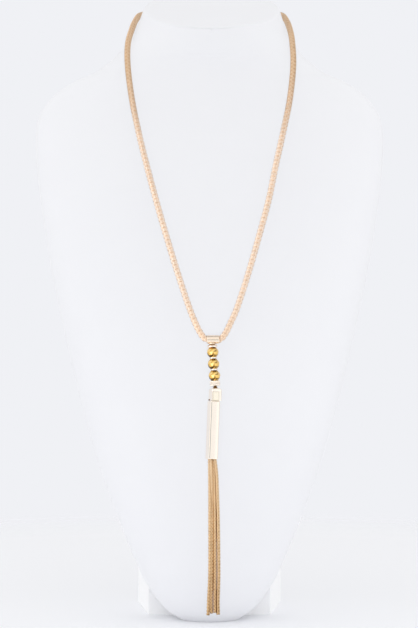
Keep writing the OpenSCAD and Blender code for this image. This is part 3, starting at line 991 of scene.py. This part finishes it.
# Rivet on the left face, by distance out from the cap's middle and share of its radius
RIVET_R, RIVET_DOWN, RIVET_BACK, RIVET_SIDES = 0.55, 7.85, 1.7, 16
RIVET_HEAD = ((3.4, 1.0), (3.95, 1.0), (4.12, 0.85), (4.2, 0.4))
CROSSBAR_HALF, CROSSBAR_R, CROSSBAR_DOWN, CROSSBAR_SIDES = 2.2, 0.5, 0.5, 20


def face_plates(x_from, x_to, down_from, down_to, steps):
    """Plates on the front and back faces of the cap, each built up through its steps."""
    plates = []
    for turn in (0, math.pi):
        c, s = math.cos(turn), math.sin(turn)
        points = []
        for proud, inset in steps:
            x0, x1 = x_from + inset, x_to - inset
            z0, z1 = -(down_to - inset), -(down_from + inset)
            y = -(CAP_HALF + proud)
            points += [(x * c - y * s, x * s + y * c, z) for x, z in ((x0, z0), (x1, z0), (x1, z1), (x0, z1))]
        plates.append((points, capped_faces(len(steps), 4)))
    points, faces = joined(plates)
    return hung(points, CAP), faces


def make_cap_body(mat):
    rings = [square_ring(MOUTH_HALF, MOUTH_CORNER, 0.0, down) for down in MOUTH_LEVELS]
    for down, inset in SHOULDER:
        corner = max(CAP_CORNER, inset * SHOULDER_CORNER)
        rings.append(square_ring(CAP_HALF - inset, corner, CAP_BULGE, CAP_TOP + down))
    for down, inset in CAP_END:
        rings.append(square_ring(CAP_HALF - inset, CAP_CORNER, CAP_BULGE, CAP_TOP + CAP_LONG + down))
    faces = capped_faces(len(rings), len(rings[0]))
    new_piece("cap_body", hung(np.vstack(rings), CAP), faces, mat, "pale_gold", "bar_cap")


def make_cap_faces(panel_mat, groove_shade_mat):
    left, right = PANEL_SHIFT - PANEL_HALF, PANEL_SHIFT + PANEL_HALF
    points, faces = face_plates(left, right, PANEL_FROM, PANEL_TO, PANEL_STEPS)
    new_piece("cap_panels", points, faces, panel_mat, "pale_gold", flat=True)
    w = GROOVE_WIDE
    points, faces = face_plates(left - w, right + w, PANEL_FROM - w, PANEL_TO + w, GROOVE_STEPS)
    new_piece("cap_grooves", points, faces, groove_shade_mat, "pale_gold", flat=True)


def make_cap_fittings(plug_shade_mat, pin_shade_mat):
    """The plug that the bar slides over, the rivet and the crossbar. The plug's darker gold is
    painted shade in the gap under the cap, the near-black rivet is a painted shadow on the cap's
    left face, and the near-black crossbar is painted shade in its mouth.
    """
    rings = [square_ring(PLUG_HALF, PLUG_CORNER, 0.0, down) for down in PLUG_LEVELS]
    faces = capped_faces(len(rings), len(rings[0]))
    new_piece("cap_plug", hung(np.vstack(rings), CAP), faces, plug_shade_mat, "pale_gold")
    rings = about_x([(-reach, share * RIVET_R) for reach, share in RIVET_HEAD], RIVET_SIDES)
    points = np.vstack(rings) * (1, -1, 1) + (0, RIVET_BACK, -RIVET_DOWN)
    faces = capped_faces(len(rings), RIVET_SIDES)
    new_piece("cap_rivet", hung(points, CAP), faces, pin_shade_mat, "pale_gold")
    rod = about_x([(-CROSSBAR_HALF, CROSSBAR_R), (CROSSBAR_HALF, CROSSBAR_R)], CROSSBAR_SIDES)
    points = np.vstack(rod) - (0, 0, CROSSBAR_DOWN)
    faces = capped_faces(len(rod), CROSSBAR_SIDES)
    new_piece("cap_crossbar", hung(points, CAP), faces, pin_shade_mat, "pale_gold")


def make_cap(mat, panel_mat, groove_shade_mat, pin_shade_mat):
    """Square cap with round shoulders, an open mouth for the eye, and a raised panel front and back."""
    make_cap_body(mat)
    make_cap_faces(panel_mat, groove_shade_mat)
    make_cap_fittings(groove_shade_mat, pin_shade_mat)


# Coil: its radius, its wire's radius, and where on the pin it starts and ends
COIL_R, COIL_WIRE, COIL_FROM, COIL_TO = 0.8, 0.26, 32.75, 33.95
COIL_TURNS, COIL_STEPS, COIL_SIDES = 4, 72, 8


def make_coil(mat):
    """Wire wrapped round the pin above its eye."""
    angle = angles(COIL_SIDES)[:, None]
    turns = np.linspace(0, 2 * np.pi * COIL_TURNS, COIL_STEPS)
    levels = -np.linspace(COIL_FROM, COIL_TO, COIL_STEPS)
    rings = []
    for turn, z in zip(turns, levels):
        out = np.array([math.cos(turn), math.sin(turn), 0])
        up = np.array([0, 0, 1])
        rings.append(COIL_R * out + z * up + COIL_WIRE * (np.cos(angle) * out + np.sin(angle) * up))
    faces = capped_faces(len(rings), COIL_SIDES)
    new_piece("eye_coil", hung(np.vstack(rings), STRING), faces, mat, "chain_gold")


# Clasp: (place along, radius)
CLASP_AT = (0, 69, 450)
CLASP_SIDES = 48
CLASP = (
    (-10.0, 2.36), (-10.0, 2.5), (-9.85, 2.6), (-7.6, 2.6), (-7.4, 2.75), (-7.4, 3.05), (-7.2, 3.2),
    (-6.4, 3.2), (-6.2, 3.0), (-6.0, 3.0), (-5.8, 3.2), (-0.35, 3.2), (-0.15, 3.05), (-0.1, 2.8),
    (0.1, 2.8), (0.15, 3.05), (0.35, 3.2), (5.8, 3.2), (6.0, 3.0), (6.2, 3.0), (6.4, 3.2),
    (7.2, 3.2), (7.4, 3.05), (7.4, 2.75), (7.6, 2.6), (9.85, 2.6), (10.0, 2.5), (10.0, 2.36),
)


def make_clasp(mat):
    """Barrel clasp in two halves, with a collar for each end of the chain."""
    rings = about_x(CLASP, CLASP_SIDES)
    faces = capped_faces(len(rings), CLASP_SIDES)
    new_piece("clasp_barrel", np.vstack(rings) + np.array(CLASP_AT), faces, mat, "pale_gold", "clasp")


EDGE_SEGMENTS = 3
EDGE_ANGLE = math.radians(35)


def dress(name, mat, edge=0.0, shades=False):
    """Finish and softened edge for a CAD node that stays. As with the pieces, only one that shades
    takes the room's light away from what is near it."""
    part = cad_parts[name]
    part.visible_diffuse = shades
    part.data.materials.clear()
    part.data.materials.append(mat)
    if edge:
        bevel = part.modifiers.new("edge", "BEVEL")
        bevel.width = edge * MM
        bevel.segments = EDGE_SEGMENTS
        bevel.limit_method = "ANGLE"
        bevel.angle_limit = EDGE_ANGLE
        bevel.harden_normals = True


make_camera()
make_world()
make_lights()
make_floor()

white = leatherette("white_leatherette", (0.868, 0.872, 0.902), (0.890, 0.896, 0.922))
# The foot's covering is whiter than the bust's: painted light on the foot, which stands in the bust's shade
lightened_foot_white = leatherette("lightened_foot_leatherette", (0.955, 0.958, 0.970), (0.972, 0.975, 0.985))
# Chain: paler on the chest and a darker, deeper tan beside the neck, painted light and shade
chain_gold = metal(
    "chain_gold",
    (
        (200, (0.93, 0.74, 0.58)), (230, (0.92, 0.76, 0.63)), (340, (0.89, 0.73, 0.60)),
        (372, (0.74, 0.56, 0.41)), (395, (0.72, 0.53, 0.355)), (430, (0.78, 0.58, 0.40)),
    ),
    0.38,
)
# Cores: darker than the links and darkest by the neck, painted shade inside the chain
core_shade_gold = metal(
    "core_shade_gold", ((190, (0.84, 0.62, 0.45)), (340, (0.80, 0.57, 0.39)), (400, (0.64, 0.42, 0.25))), 0.45
)
# Tassel: darker towards the strands' lower ends, painted shade
tassel_gold = metal(
    "tassel_gold",
    ((5, (0.62, 0.42, 0.23)), (50, (0.76, 0.545, 0.325)), (115, (0.80, 0.60, 0.39))),
    0.34,
)
# Tassel cores: darker than the strands, painted shade between them
tassel_core_shade_gold = metal(
    "tassel_core_shade_gold",
    ((5, (0.42, 0.27, 0.14)), (60, (0.58, 0.40, 0.23)), (115, (0.76, 0.55, 0.33))),
    0.45,
)
# Bail: pale on its lower half and darker tan on its top, painted shade
bail_gold = polished("bail_gold", ((196, (1.0, 0.90, 0.77)), (203, (0.88, 0.72, 0.57))), 0.17)
pale_gold = polished("pale_gold", ((110, (0.97, 0.89, 0.80)), (210, (0.98, 0.90, 0.80))), 0.12)
panel_gold = polished("panel_gold", ((150, (0.98, 0.91, 0.76)), (170, (0.99, 0.92, 0.79))), 0.14)
# Darker gold: painted shade in the cap's groove and in the gap where the bar meets the cap
groove_shade_gold = metal("groove_shade_gold", ((150, (0.68, 0.60, 0.48)), (170, (0.74, 0.65, 0.53))), 0.3)
# Near-black gold: painted shade on the bail's seat, the coil, the cap's rivet and crossbar, and the eye pin
painted_shade_gold = metal("painted_shade_gold", ((165, (0.22, 0.12, 0.05)), (200, (0.17, 0.085, 0.03))), 0.3)
bead_gold = facet_gold(
    "bead_gold",
    (
        (0.0, (1.0, 0.88, 0.60)), (0.06, (0.99, 0.80, 0.42)), (0.16, (0.96, 0.70, 0.30)),
        (0.43, (0.87, 0.57, 0.17)), (0.6, (0.76, 0.46, 0.11)),
        (0.8, (0.50, 0.31, 0.09)), (0.95, (0.15, 0.09, 0.03)),
    ),
    0.07,
)
champagne = stone()

make_bust(white)
make_chain(chain_gold, core_shade_gold)
make_tassel(tassel_gold, tassel_core_shade_gold)
make_bail(bail_gold, painted_shade_gold, core_shade_gold)
make_top_spacer(pale_gold)
make_rondelle(pale_gold, champagne)
make_coil(painted_shade_gold)
make_cap(pale_gold, panel_gold, groove_shade_gold, painted_shade_gold)
make_bar(pale_gold)
make_clasp(pale_gold)
dress("bust_foot", lightened_foot_white, 2.0, shades=True)
dress("eye_pin", painted_shade_gold)
for i in (2, 3):
    dress(f"spacer_{i}", pale_gold, 0.25)
for i in (1, 2, 3):
    dress(f"bead_{i}", bead_gold, 0.06)
